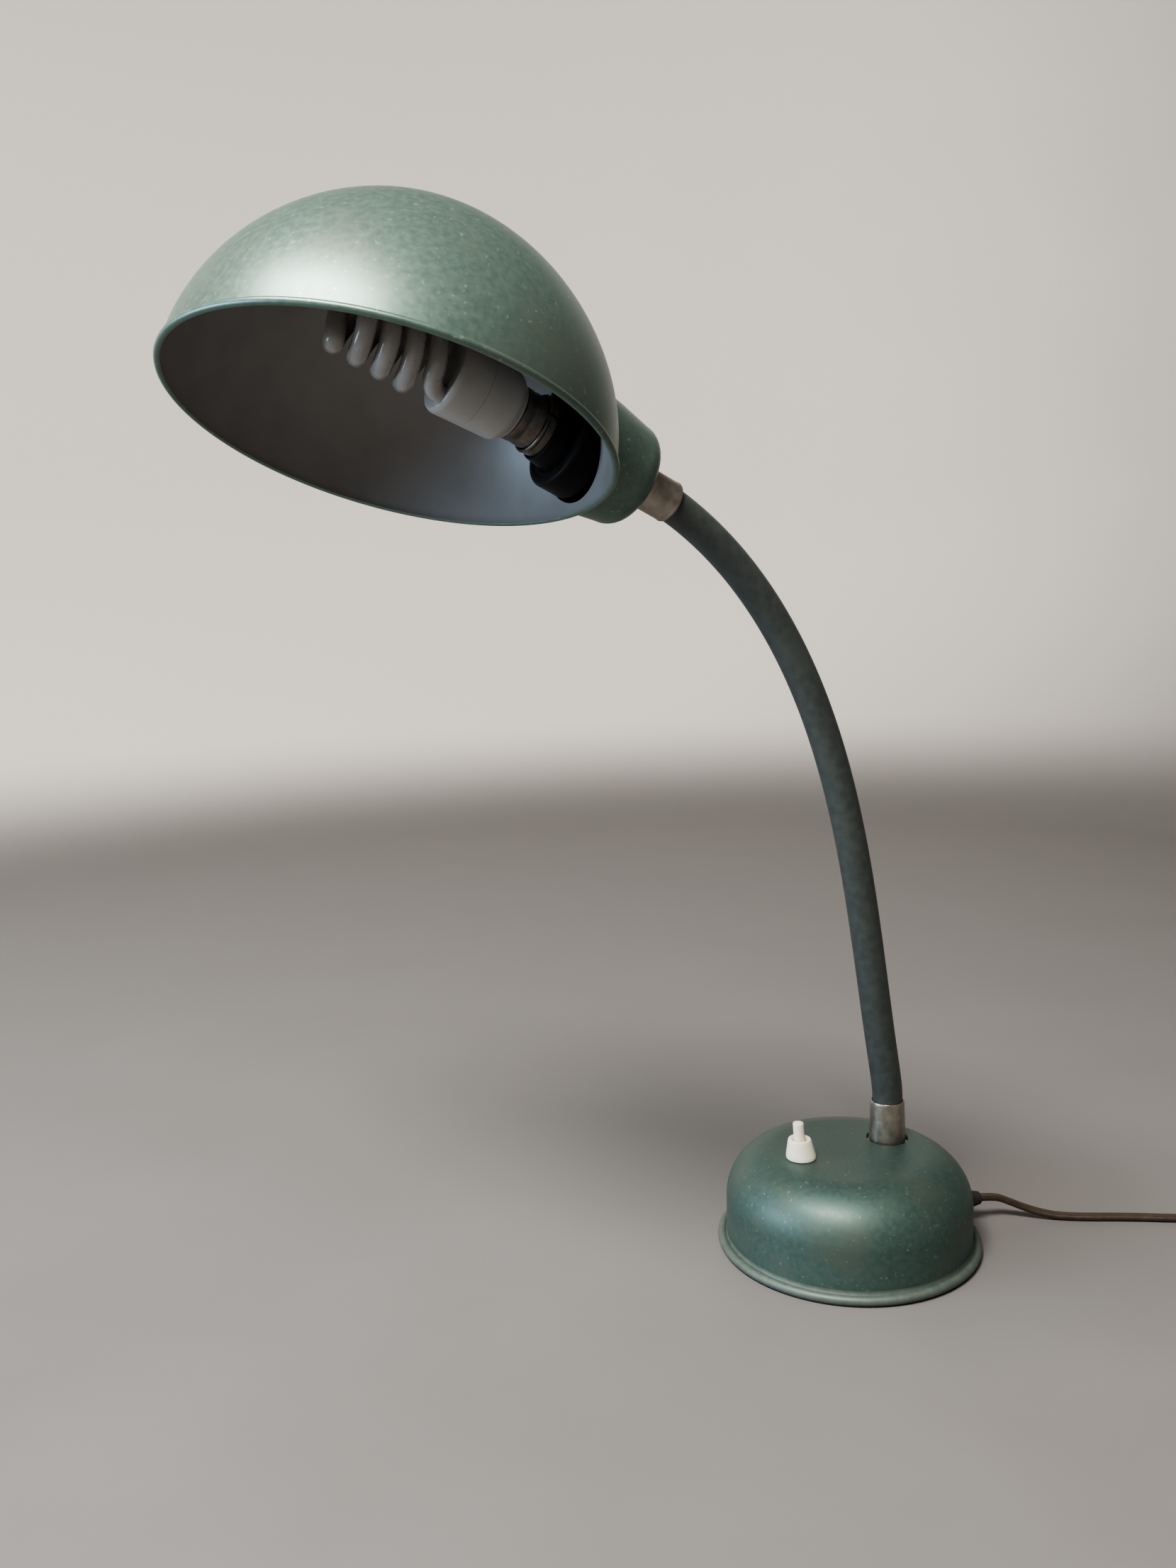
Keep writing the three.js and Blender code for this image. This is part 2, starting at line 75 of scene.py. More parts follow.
def camera_axes():
    """Right, up and forward of the camera."""
    heading, pitch, roll = (math.radians(a) for a in CAMERA_ANGLES)
    level = math.cos(pitch)
    forward = Vector((math.cos(heading) * level, math.sin(heading) * level, -math.sin(pitch)))
    side = Vector((math.sin(heading), -math.cos(heading), 0))
    over = side.cross(forward)
    right = side * math.cos(roll) + over * math.sin(roll)
    return right, over * math.cos(roll) - side * math.sin(roll), forward


def add_camera():
    right, up, forward = camera_axes()
    camera = bpy.data.objects.new("camera", bpy.data.cameras.new("camera"))
    camera.data.sensor_width = SENSOR
    camera.data.lens = LENS
    camera.data.clip_start = 0.01
    camera.matrix_world = Matrix((right, up, -forward)).transposed().to_4x4()
    camera.location = CAMERA_PLACE
    bpy.context.scene.collection.objects.link(camera)
    bpy.context.scene.camera = camera


def add_light(name, towards_left, towards_up, towards_camera, width, height, power, colour):
    """An area light placed from the lamp's middle by the camera's directions, and aimed at it."""
    right, up, forward = camera_axes()
    offset = -right * towards_left + Vector((0, 0, towards_up)) - forward * towards_camera
    light = bpy.data.objects.new(name, bpy.data.lights.new(name, "AREA"))
    light.data.shape = "ELLIPSE"
    light.data.size = width
    light.data.size_y = height
    light.data.energy = power
    light.data.color = colour
    light.location = LAMP_MIDDLE + offset
    light.rotation_mode = "QUATERNION"
    light.rotation_quaternion = (-offset).to_track_quat("-Z", "Y")
    bpy.context.scene.collection.objects.link(light)


def add_world():
    world = bpy.data.worlds.new("studio")
    world.use_nodes = True
    background = world.node_tree.nodes["Background"]
    background.inputs["Color"].default_value = (0.88, 0.815, 0.75, 1)
    background.inputs["Strength"].default_value = 0.16
    bpy.context.scene.world = world
    bpy.context.scene.view_settings.look = "AgX - Medium High Contrast"


# ---------------------------------------------------------------- finishes
GLOSS_SPAN = (0.3, 0.7)  # the noise values between which roughness runs from one end to the other
SHADE_SPAN = (0.35, 0.65)  # and those between which the colour does


def finish(name, colour, second, grain, roughness, metallic=0.0, **settings):
    """A material whose colour wanders between two shades and whose gloss varies a little."""
    made = bpy.data.materials.new(name)
    made.use_nodes = True
    nodes, links = made.node_tree.nodes, made.node_tree.links
    shader = nodes["Principled BSDF"]
    shader.inputs["Metallic"].default_value = metallic
    for socket, value in settings.items():
        shader.inputs[socket.replace("_", " ")].default_value = value
    place = nodes.new("ShaderNodeTexCoord")
    noise = nodes.new("ShaderNodeTexNoise")
    noise.inputs["Scale"].default_value = grain
    noise.inputs["Detail"].default_value = 5
    links.new(place.outputs["Object"], noise.inputs["Vector"])
    gloss = nodes.new("ShaderNodeMapRange")
    gloss.inputs["From Min"].default_value, gloss.inputs["From Max"].default_value = GLOSS_SPAN
    gloss.inputs["To Min"].default_value, gloss.inputs["To Max"].default_value = roughness
    links.new(noise.outputs["Fac"], gloss.inputs["Value"])
    links.new(gloss.outputs["Result"], shader.inputs["Roughness"])
    ramp = nodes.new("ShaderNodeValToRGB")
    for stop, position, shade in zip(ramp.color_ramp.elements, SHADE_SPAN, (colour, second)):
        stop.position = position
        stop.color = (*shade, 1)
    links.new(noise.outputs["Fac"], ramp.inputs["Fac"])
    links.new(ramp.outputs["Color"], shader.inputs["Base Color"])
    return made


def layer_over(material, colour, mask_scale, low, high, detail=3.0):
    """Lays a third colour over a finish wherever another noise is high."""
    nodes, links = material.node_tree.nodes, material.node_tree.links
    shader = nodes["Principled BSDF"]
    below = shader.inputs["Base Color"].links[0].from_socket
    place = next(n for n in nodes if n.type == "TEX_COORD")
    noise = nodes.new("ShaderNodeTexNoise")
    noise.inputs["Scale"].default_value = mask_scale
    noise.inputs["Detail"].default_value = detail
    links.new(place.outputs["Object"], noise.inputs["Vector"])
    mask = nodes.new("ShaderNodeMapRange")
    mask.interpolation_type = "SMOOTHSTEP"
    mask.inputs["From Min"].default_value = low
    mask.inputs["From Max"].default_value = high
    links.new(noise.outputs["Fac"], mask.inputs["Value"])
    mix = nodes.new("ShaderNodeMix")
    mix.data_type = "RGBA"
    links.new(mask.outputs["Result"], mix.inputs["Factor"])
    links.new(below, mix.inputs["A"])
    mix.inputs["B"].default_value = (*colour, 1)
    links.new(mix.outputs["Result"], shader.inputs["Base Color"])


FINISHES = {
    "green_paint": finish("green_paint", (0.10, 0.152, 0.126), (0.122, 0.18, 0.15), 380, (0.39, 0.46),
                          0.6, Coat_Weight=0.12, Coat_Roughness=0.3),
    # The base's paint is the dome's green paint made darker: painted shade, for the dimmer light that
    # falls on the base.
    "shaded_base_paint": finish("shaded_base_green_paint", (0.056, 0.096, 0.083), (0.069, 0.115, 0.10), 380,
                         (0.5, 0.58), 0.6, Coat_Weight=0.12, Coat_Roughness=0.3),
    # The bead's paint is paler and greyer than the rest of the base's.
    "pale_bead_paint": finish("base_bead_paint", (0.092, 0.118, 0.10), (0.115, 0.14, 0.12), 300, (0.52, 0.62),
                          0.45),
    # The dome's inner enamel is a dark grey instead of white: painted shade for the dim inside of the
    # shade.
    "shaded_enamel": finish("shaded_white_enamel", (0.205, 0.194, 0.186), (0.225, 0.213, 0.204), 60, (0.3, 0.42)),
    "felt": finish("felt", (0.035, 0.045, 0.033), (0.07, 0.08, 0.062), 900, (0.9, 1.0),
                   Sheen_Weight=0.4),
    "plain_steel": finish("plain_steel", (0.35, 0.35, 0.33), (0.45, 0.44, 0.41), 300, (0.3, 0.5), 0.9),
    "cast_iron": finish("cast_iron", (0.05, 0.05, 0.05), (0.09, 0.088, 0.085), 350, (0.6, 0.8), 0.5),
    "nickel": finish("nickel", (0.30, 0.265, 0.225), (0.38, 0.345, 0.30), 260, (0.3, 0.46), 0.9),
    # A darker copy of the nickel, for the cap and the bayonet sleeve inside the shade: painted shade.
    "dull_nickel": finish("dull_nickel", (0.105, 0.09, 0.077), (0.16, 0.14, 0.12), 260, (0.3, 0.46), 0.9),
    "ivory_plastic": finish("ivory_plastic", (0.88, 0.825, 0.67), (0.92, 0.87, 0.72), 90,
                            (0.36, 0.46), Subsurface_Weight=0.08, Subsurface_Scale=0.003),
    "black_bakelite": finish("black_bakelite", (0.008, 0.007, 0.007), (0.013, 0.011, 0.011), 200,
                             (0.42, 0.55), Specular_IOR_Level=0.07),
    "brass": finish("brass", (0.55, 0.38, 0.14), (0.60, 0.42, 0.17), 300, (0.25, 0.4), 0.95),
    # The bulb's white plastic and frosted glass are dark greys instead of white: painted shade for the dim
    # inside of the shade.
    "white_plastic": finish("white_plastic", (0.285, 0.268, 0.246), (0.32, 0.302, 0.278), 80, (0.38, 0.5)),
    "frosted_glass": finish("frosted_glass", (0.25, 0.232, 0.213), (0.285, 0.266, 0.246), 120,
                            (0.2, 0.32), Coat_Weight=0.4, Coat_Roughness=0.12),
    "neck_sleeve": finish("neck_sleeve", (0.036, 0.044, 0.041), (0.05, 0.059, 0.054), 240, (0.4, 0.54)),
    "neck_core": finish("neck_core", (0.28, 0.28, 0.27), (0.36, 0.355, 0.34), 300, (0.3, 0.45), 0.9),
    "brown_cord": finish("brown_cord", (0.030, 0.019, 0.012), (0.042, 0.028, 0.018), 260, (0.42, 0.56)),
    "brown_plug": finish("brown_plug", (0.05, 0.03, 0.018), (0.066, 0.040, 0.025), 200, (0.32, 0.45)),
    "black_rubber": finish("black_rubber", (0.014, 0.011, 0.009), (0.022, 0.017, 0.014), 300, (0.6, 0.75)),
}
layer_over(FINISHES["green_paint"], (0.13, 0.165, 0.135), 26, 0.46, 0.78)
layer_over(FINISHES["shaded_base_paint"], (0.082, 0.112, 0.092), 34, 0.44, 0.75)
layer_over(FINISHES["shaded_base_paint"], (0.15, 0.19, 0.165), 520, 0.66, 0.80, 1.0)
layer_over(FINISHES["green_paint"], (0.21, 0.26, 0.23), 520, 0.66, 0.80, 1.0)
layer_over(FINISHES["neck_sleeve"], (0.052, 0.062, 0.057), 40, 0.5, 0.8)


# ---------------------------------------------------------------- shape helpers
SHARP_ANGLE = math.radians(38)  # edges that turn by more than this stay sharp


def soften(points, closed, steps=5):
    """A profile with the corners that carry a third number rounded by that radius."""
    made, count = [], len(points)
    for i, point in enumerate(points):
        here = np.array(point[:2], float)
        radius = point[2] if len(point) > 2 else 0
        if not radius or (not closed and i in (0, count - 1)):
            made.append(here)
            continue
        back = np.array(points[i - 1][:2], float) - here
        ahead = np.array(points[(i + 1) % count][:2], float) - here
        a = here + unit(back) * min(radius, 0.48 * np.linalg.norm(back))
        b = here + unit(ahead) * min(radius, 0.48 * np.linalg.norm(ahead))
        for k in range(steps + 1):
            t = k / steps
            made.append(a * (1 - t) ** 2 + here * 2 * t * (1 - t) + b * t * t)
    return made


def mesh_object(name, vertices, faces, finishes, tints=None):
    """A smooth-shaded object from millimetre vertices; tints gives each face's finish."""
    mesh = bpy.data.meshes.new(name)
    mesh.from_pydata([tuple(v * MM) for v in vertices], [], faces)
    if tints:
        mesh.polygons.foreach_set("material_index", tints)
    for key in [finishes] if isinstance(finishes, str) else finishes:
        mesh.materials.append(FINISHES[key])
    outward(mesh)
    mesh.shade_smooth()
    mesh.set_sharp_from_angle(angle=SHARP_ANGLE)
    made = bpy.data.objects.new(name, mesh)
    bpy.context.scene.collection.objects.link(made)
    return made


def outward(mesh):
    work = bmesh.new()
    work.from_mesh(mesh)
    bmesh.ops.recalc_face_normals(work, faces=work.faces)
    work.to_mesh(mesh)
    work.free()


def straight(origin, axis, side):
    """Where a turned piece's stations lie: along a line from origin."""
    origin, axis, side = np.asarray(origin, float), unit(axis), unit(side)
    return lambda s: (origin + axis * s, side, np.cross(axis, side))


def turned(name, profile, at, finishes, sides=72, closed=False, tint=None):
    """A profile turned about the axis that at() follows. A closed one is a ring round the axis."""
    points = soften(profile, closed)
    angles = [2 * math.pi * k / sides for k in range(sides)]
    vertices, rings = [], []
    for radius, station in points:
        centre, u, v = at(station)
        if radius < 1e-6:
            rings.append([len(vertices)] * sides)
            vertices.append(centre)
            continue
        rings.append(list(range(len(vertices), len(vertices) + sides)))
        vertices += [centre + (u * math.cos(a) + v * math.sin(a)) * radius for a in angles]
    faces, tints = [], []
    last = len(rings) if closed else len(rings) - 1
    for j in range(last):
        a, b = rings[j], rings[(j + 1) % len(rings)]
        for k in range(sides):
            n = (k + 1) % sides
            corners = dict.fromkeys((a[k], a[n], b[n], b[k]))
            if len(corners) > 2:
                faces.append(tuple(corners))
                tints.append(tint(j / last) if tint else 0)
    return mesh_object(name, vertices, faces, finishes, tints)


def smooth_line(points, spacing):
    """A centripetal Catmull-Rom curve through the points, sampled about every spacing."""
    p = np.asarray(points, float)
    p = np.vstack([2 * p[0] - p[1], p, 2 * p[-1] - p[-2]])
    made = []
    for a, b, c, d in zip(p, p[1:], p[2:], p[3:]):
        t = np.cumsum([0] + [math.sqrt(np.linalg.norm(y - x)) for x, y in ((a, b), (b, c), (c, d))])
        count = max(2, round(np.linalg.norm(c - b) / spacing))
        for s in np.linspace(t[1], t[2], count, endpoint=False):
            a1 = (a * (t[1] - s) + b * (s - t[0])) / (t[1] - t[0])
            a2 = (b * (t[2] - s) + c * (s - t[1])) / (t[2] - t[1])
            a3 = (c * (t[3] - s) + d * (s - t[2])) / (t[3] - t[2])
            b1 = (a1 * (t[2] - s) + a2 * (s - t[0])) / (t[2] - t[0])
            b2 = (a2 * (t[3] - s) + a3 * (s - t[1])) / (t[3] - t[1])
            made.append((b1 * (t[2] - s) + b2 * (s - t[1])) / (t[2] - t[1]))
    return np.array(made + [p[-2]])


def swept(name, line, section, finishes, level=None, loop=False):
    """A section of (sideways, upwards) offsets swept along a line, closed at both ends.

    level is the direction that the section's upward side keeps to; without it the section turns as
    little as it can."""
    line = np.asarray(line, float)
    ahead = np.roll(line, -1, 0) - np.roll(line, 1, 0) if loop else np.gradient(line, axis=0)
    over = unit(np.cross(ahead[0], (0.31, 0.57, 0.76)))
    vertices, rings = [], []
    for point, tangent in zip(line, ahead):
        tangent = unit(tangent)
        if level is not None:
            over = np.asarray(level, float)
        side = unit(np.cross(tangent, over))
        over = np.cross(side, tangent)
        rings.append(list(range(len(vertices), len(vertices) + len(section))))
        vertices += [point + side * x + over * y for x, y in section]
    faces, count = [], len(section)
    for a, b in zip(rings, rings[1:] + rings[:1] if loop else rings[1:]):
        faces += [(a[k], a[(k + 1) % count], b[(k + 1) % count], b[k]) for k in range(count)]
    if not loop:
        faces += [tuple(rings[0][::-1]), tuple(rings[-1])]
    return mesh_object(name, vertices, faces, finishes)


def circle(radius, sides):
    return [(radius * math.cos(a), radius * math.sin(a))
            for a in (2 * math.pi * k / sides for k in range(sides))]


def combine(target, tools, operation):
    """Cuts the tools from the target, or joins them to it, and removes them."""
    for tool in tools:
        change = target.modifiers.new(tool.name, "BOOLEAN")
        change.object = tool
        change.operation = operation
        change.solver = "EXACT"
    bpy.context.view_layer.update()
    made = bpy.data.meshes.new_from_object(target.evaluated_get(bpy.context.evaluated_depsgraph_get()))
    target.modifiers.clear()
    target.data = made
    for tool in tools:
        bpy.data.objects.remove(tool)
    made.set_sharp_from_angle(angle=SHARP_ANGLE)
    return target


def block(name, low, high, axes=np.eye(3), origin=(0, 0, 0)):
    """A plain box between two corners in the given axes, used as a cutting or joining tool."""
    corners = itertools.product(*zip(low, high))
    vertices = [np.asarray(origin, float) + np.array(c) @ np.asarray(axes, float) for c in corners]
    faces = [(0, 1, 3, 2), (4, 6, 7, 5), (0, 4, 5, 1), (2, 3, 7, 6), (0, 2, 6, 4), (1, 5, 7, 3)]
    return mesh_object(name, vertices, faces, "green_paint")


def settle(piece, body, finish_slot, *nodes):
    """The piece moves with that body and stands for those CAD nodes; its finish slot is not used."""
    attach(piece, body)
    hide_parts(*nodes)
    return piece


# ---------------------------------------------------------------- base
TOP = 48.0
WALL = 60.5  # outer radius of the upright wall
SHOULDER = 25.0  # outer radius of the rounding between wall and top
SHEET = 1.2
BEAD_SHARE = (0.43, 0.65)  # the part of the shell's profile that is its bead
UPRIGHT = straight((0, 0, 0), (0, 0, 1), (1, 0, 0))
FOOT_X = 25.6
AT_FOOT = straight((FOOT_X, 0, 0), (0, 0, 1), (1, 0, 0))
SWITCH = (-25.7, 4.5, 0)
AT_SWITCH = straight(SWITCH, (0, 0, 1), (1, 0, 0))
CORD_HEADING = math.radians(-16.7)
CORD_OUT = np.array([math.cos(CORD_HEADING), math.sin(CORD_HEADING), 0])
AT_BUSH = straight((0, 0, 12.5), CORD_OUT, (0, 0, 1))
SCREW_ANGLES = (60, 180, 300)
SCREW_RING = 54.5
SCREW_HOLE = 1.8


def arc(centre, radius, start, end, steps):
    angles = np.radians(np.linspace(start, end, steps + 1))
    return [(centre[0] + radius * math.cos(a), centre[1] + radius * math.sin(a)) for a in angles]


def around(radius, degrees, height=0.0):
    a = math.radians(degrees)
    return np.array([radius * math.cos(a), radius * math.sin(a), height])


def base_shell():
    centre = (WALL - SHOULDER, TOP - SHOULDER)
    profile = [
        (0, TOP - SHEET),
        *arc(centre, SHOULDER - SHEET, 90, 0, 22),
        (WALL - SHEET, 0.8, 0.3),
        (60.2, 0.3, 0.3),
        *arc((62.8, 2.5), 2.2, -90, 140, 14),
        (WALL, 5.1, 0.9),
        *arc(centre, SHOULDER, 0, 90, 26),
        (18, TOP),
        (0, TOP),
    ]
    shell = turned("base_shell_paint", profile, UPRIGHT, ["shaded_base_paint", "pale_bead_paint"], 144,
                   tint=lambda done: int(BEAD_SHARE[0] < done < BEAD_SHARE[1]))
    lugs = []
    for angle in SCREW_ANGLES:
        out = around(1, angle)
        axes = [out, np.cross((0, 0, 1), out), (0, 0, 1)]
        lugs.append(block("lug", (51, -4.5, 3.3), (60, 4.5, 12), axes))
    combine(shell, lugs, "UNION")
    cutters = [
        turned("cut", [(0, 44), (10, 44), (10, 47.3), (10.5, 48.1), (10.5, 52), (0, 52)], AT_FOOT,
               "green_paint", 64),
        turned("cut", [(0, 44), (5.9, 44), (5.9, 52), (0, 52)], AT_SWITCH, "green_paint", 48),
        turned("cut", [(0, 55), (4.3, 55), (4.3, 65), (0, 65)], AT_BUSH, "green_paint", 32),
    ]
    for angle in SCREW_ANGLES:
        at = straight(around(SCREW_RING, angle), (0, 0, 1), (1, 0, 0))
        hole = [(0, 2), (SCREW_HOLE, 2), (SCREW_HOLE, 10.5), (0, 10.5)]
        cutters.append(turned("cut", hole, at, "green_paint", 24))
    return combine(shell, cutters, "DIFFERENCE")


settle(base_shell(), "base", "green_paint", "base_shell")
felt = turned("base_felt", [(0, 0), (49, 0, 0.3), (49, 1.5, 0.4), (0, 1.5)], UPRIGHT, "felt", 120)
settle(felt, "base", "felt", "felt_pad")


def base_plate():
    plate = turned("base_plate_disc", [(3.4, 3), (6, 1.8), (58.9, 1.8, 0.25), (58.9, 3, 0.25)], UPRIGHT,
                   "plain_steel", 120, closed=True)
    holes = []
    for angle in SCREW_ANGLES:
        at = straight(around(SCREW_RING, angle), (0, 0, 1), (1, 0, 0))
        hole = [(0, 0), (SCREW_HOLE, 0), (SCREW_HOLE, 6), (0, 6)]
        holes.append(turned("cut", hole, at, "plain_steel", 24))
    return combine(plate, holes, "DIFFERENCE")


settle(base_plate(), "base", "plain_steel", "base_plate")


def slotted(name, profile, origin, slot_width, slot_top, reach):
    """A turned screw or bolt whose head, facing down, has a driver slot."""
    body = turned(name, profile, straight(origin, (0, 0, 1), (1, 0, 0)), "plain_steel", 40)
    low, high = (-reach, -slot_width / 2, -1), (reach, slot_width / 2, slot_top)
    return combine(body, [block("slot", low, high, origin=origin)], "DIFFERENCE")


for number, angle in enumerate(SCREW_ANGLES, 1):
    screw_profile = [(0, 0.4), (3, 0.4, 0.5), (3, 1.5, 0.15), (1.5, 1.5), (1.5, 9.5, 0.3), (0, 9.5)]
    screw = slotted(f"base_screw_{number}", screw_profile, around(SCREW_RING, angle), 0.8, 0.95, 4)
    settle(screw, "base", "plain_steel", f"plate_screw_{number}")
bolt_profile = [(0, 1.85), (5.6, 1.85), (3.1, 3.0, 0.2), (3.1, 28, 0.6), (0, 28)]
bolt = slotted("ballast_screw", bolt_profile, (0, 0, 0), 1.2, 2.3, 7)
settle(bolt, "base", "plain_steel", "ballast_bolt")
weight = turned("ballast_disc", [(3.4, 3.3), (48.5, 3.3, 2), (48.5, 22, 3), (3.4, 22, 0.8)], UPRIGHT,
                "cast_iron", 96, closed=True)
settle(weight, "base", "cast_iron", "ballast_weight")

ferrule = turned(
    "foot_ferrule_cup",
    [(5.2, 46.8), (9.1, 46.8, 0.3), (9.1, 49, 0.6), (8.45, 67.3, 0.4), (8.15, 68.2, 0.25),
     (7.8, 68.2, 0.1), (7.8, 55, 0.4), (5.2, 55)],
    AT_FOOT, "nickel", 80, closed=True)
settle(ferrule, "base", "nickel", "foot_ferrule")
washer = turned("foot_washer", [(5.2, 44.2), (11.2, 44.2, 0.3), (11.2, 46.4, 0.3), (5.2, 46.4)], AT_FOOT,
                "plain_steel", 60, closed=True)
settle(washer, "base", "plain_steel", "foot_plate")

SWITCH_LEAN = math.tan(math.radians(4.5))  # the collar sits slightly askew on the shell


def askew(piece):
    """Leans what stands above the shell by sliding higher points sideways, so that feet stay flat."""
    aside = Vector((-0.8746, 0.4849, 0))
    for vertex in piece.data.vertices:
        vertex.co += aside * max(vertex.co.z - TOP * MM, 0) * SWITCH_LEAN
    return piece


collar = askew(turned(
    "switch_collar_cone",
    [(5.6, 48.3), (7.3, 48.3, 0.25), (7.3, 49.7, 0.6), (5.75, 57.2, 0.5), (5.35, 58.1, 0.5),
     (4.3, 58.1, 0.45), (3.5, 56.8, 0.3), (3.1, 54.5), (5.6, 53.8)],
    AT_SWITCH, "ivory_plastic", 64, closed=True))
settle(collar, "base", "ivory_plastic", "switch_collar")
plunger = askew(turned(
    "switch_button_pin",
    [(0, 42), (2.65, 42, 0.3), (2.65, 66.3, 0.9), (0, 66.3)],
    AT_SWITCH, "ivory_plastic", 48))
settle(plunger, "switch_button", "ivory_plastic", "switch_plunger")


def switch_spring():
    """The return spring under the plunger, its end turns wound close."""
    bottom, top, turns, per_turn = 31.9, 41.5, 6, 16
    points = []
    for i in range(turns * per_turn + 1):
        share = i / (turns * per_turn)
        angle = 2 * math.pi * turns * share
        height = bottom + (top - bottom) * (share - 0.09 * math.sin(2 * math.pi * share))
        points.append((SWITCH[0] + 2.2 * math.cos(angle), SWITCH[1] + 2.2 * math.sin(angle), height))
    return swept("switch_spring_coil", points, circle(0.3, 8), "plain_steel")


spring = settle(switch_spring(), "base", "plain_steel", "switch_spring")
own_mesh(spring)

# ---------------------------------------------------------------- neck
NECK_LENGTH = 343.0
SLEEVE_OUTER, SLEEVE_INNER, SLEEVE_RING = 7.5, 6.3, 1.6  # radii, and how far apart its rings are
CORE_RIB, CORE_GROOVE, CORE_BORE, RIB_PITCH = 6.0, 5.5, 4.0, 3.1
LAYER_START, LAYER_END = -13.0, NECK_LENGTH - 3.2


def neck_direction(s):
    """The neck leaves its ferrule upright and leans ever more, with a slight turn to one side."""
    t = s / NECK_LENGTH
    lean = math.radians(12.2 - 31.4 * t + 89.8 * t * t - 5.6 * t ** 3 - 12.2 * math.exp(-s / 6))
    turn = math.radians(2.3) * t * t
    level = math.sin(lean)
    return np.array([-math.cos(turn) * level, -math.sin(turn) * level, math.cos(lean)])


NECK_STEP = 0.5
NECK_LINE = [np.array([FOOT_X, 0, 70.0])]
for index in range(round(NECK_LENGTH / NECK_STEP)):
    NECK_LINE.append(NECK_LINE[-1] + neck_direction((index + 0.5) * NECK_STEP) * NECK_STEP)


def on_neck(s):
    """Centre and two directions across the neck at that distance along it."""
    if s < 0:
        return NECK_LINE[0] + np.array([0, 0, s]), np.array([1.0, 0, 0]), np.array([0, 1.0, 0])
    whole = min(int(s / NECK_STEP), len(NECK_LINE) - 2)
    rest = s / NECK_STEP - whole
    centre = NECK_LINE[whole] * (1 - rest) + NECK_LINE[whole + 1] * rest
    side = unit(np.cross((0, 1, 0), neck_direction(s)))
    return centre, side, np.cross(neck_direction(s), side)


HINGES = 9
HINGE_PITCH = 37.25
FIRST_HINGE = 16.0
BODIES = ["base"] + [f"link_{i}" for i in range(1, HINGES)] + ["head"]
NODE_ENDS = [str(i) for i in range(HINGES)] + ["end"]


def sleeve_profile(start, end):
    stations = np.linspace(start, end, max(2, round((end - start) / SLEEVE_RING)) + 1)
    return [(SLEEVE_OUTER, s) for s in stations] + [(SLEEVE_INNER, s) for s in stations[::-1]]


def core_profile(start, end):
    """The steel core's wound strip: a row of rounded ribs."""
    count = max(1, round((end - start) / RIB_PITCH))
    pitch = (end - start) / count
    flank = CORE_GROOVE + 0.7 * (CORE_RIB - CORE_GROOVE)
    ribs = []
    for k in range(count):
        for quarter, radius in enumerate((CORE_GROOVE, flank, CORE_RIB, flank)):
            ribs.append((radius, start + (k + quarter / 4) * pitch))
    ribs.append((CORE_GROOVE, end))
    return ribs + [(CORE_BORE, s) for s in np.linspace(end, start, count + 1)]


def neck_layer(prefix, node, key, profile, sides):
    """One layer of the neck: a piece over each hinge, fixed where it is made, and a short piece at each
    end that moves with its body.
    """
    spans = [(LAYER_START, FIRST_HINGE - HINGE_PITCH / 2, "base", None)]
    for i in range(HINGES):
        hinge = FIRST_HINGE + i * HINGE_PITCH
        spans.append((hinge - HINGE_PITCH / 2, hinge + HINGE_PITCH / 2, BODIES[i], BODIES[i + 1]))
    spans.append((FIRST_HINGE + (HINGES - 0.5) * HINGE_PITCH, LAYER_END, "head", None))
    for i, (start, end, first, second) in enumerate(spans):
        piece = turned(f"{prefix}_{i}", profile(start, end), on_neck, key, sides, closed=True)
        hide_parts(f"{node}_{NODE_ENDS[min(i, HINGES)]}")
        if second is None:
            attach(piece, first)
        else:
            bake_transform(piece)


neck_layer("neck_cover", "neck_sleeve", "neck_sleeve", sleeve_profile, 48)
neck_layer("neck_winding", "neck_core", "neck_core", core_profile, 28)

# ---------------------------------------------------------------- head
HEAD_ORIGIN = NECK_LINE[-1]
HEAD_X = unit(neck_direction(NECK_LENGTH))
upright = Vector(np.array([0, 0, 1.0]) - HEAD_X * HEAD_X[2]).normalized()
upright.rotate(Matrix.Rotation(math.radians(8.7), 3, Vector(HEAD_X)))
HEAD_Z = np.array(upright)
HEAD_Y = np.cross(HEAD_Z, HEAD_X)
IN_HEAD = straight(HEAD_ORIGIN, HEAD_X, HEAD_Y)


def head_point(x, y, z):
    return HEAD_ORIGIN + HEAD_X * x + HEAD_Y * y + HEAD_Z * z


LEAN = math.radians(4.2)
SHADE_X = HEAD_X * math.cos(LEAN) - HEAD_Z * math.sin(LEAN)
SHADE_Z = HEAD_X * math.sin(LEAN) + HEAD_Z * math.cos(LEAN)
RIM_CENTRE = head_point(116.2, 0, 0) - SHADE_Z * 31.5
IN_SHADE = straight(RIM_CENTRE, SHADE_Z, SHADE_X)


DOME_RADIUS, DOME_HEIGHT, DOME_SHEET = 84.6, 83.3, 1.0
ROUNDNESS = 1.88  # of the dome's outline, where 2 is an ellipse and less is more pointed


def dome_outline(radius, height, steps):
    power = 2 / ROUNDNESS
    angles = np.linspace(0, math.pi / 2, steps + 1)[:-1]
    made = [(radius * math.cos(a) ** power, height * math.sin(a) ** power) for a in angles]
    return made + [(0, height)]


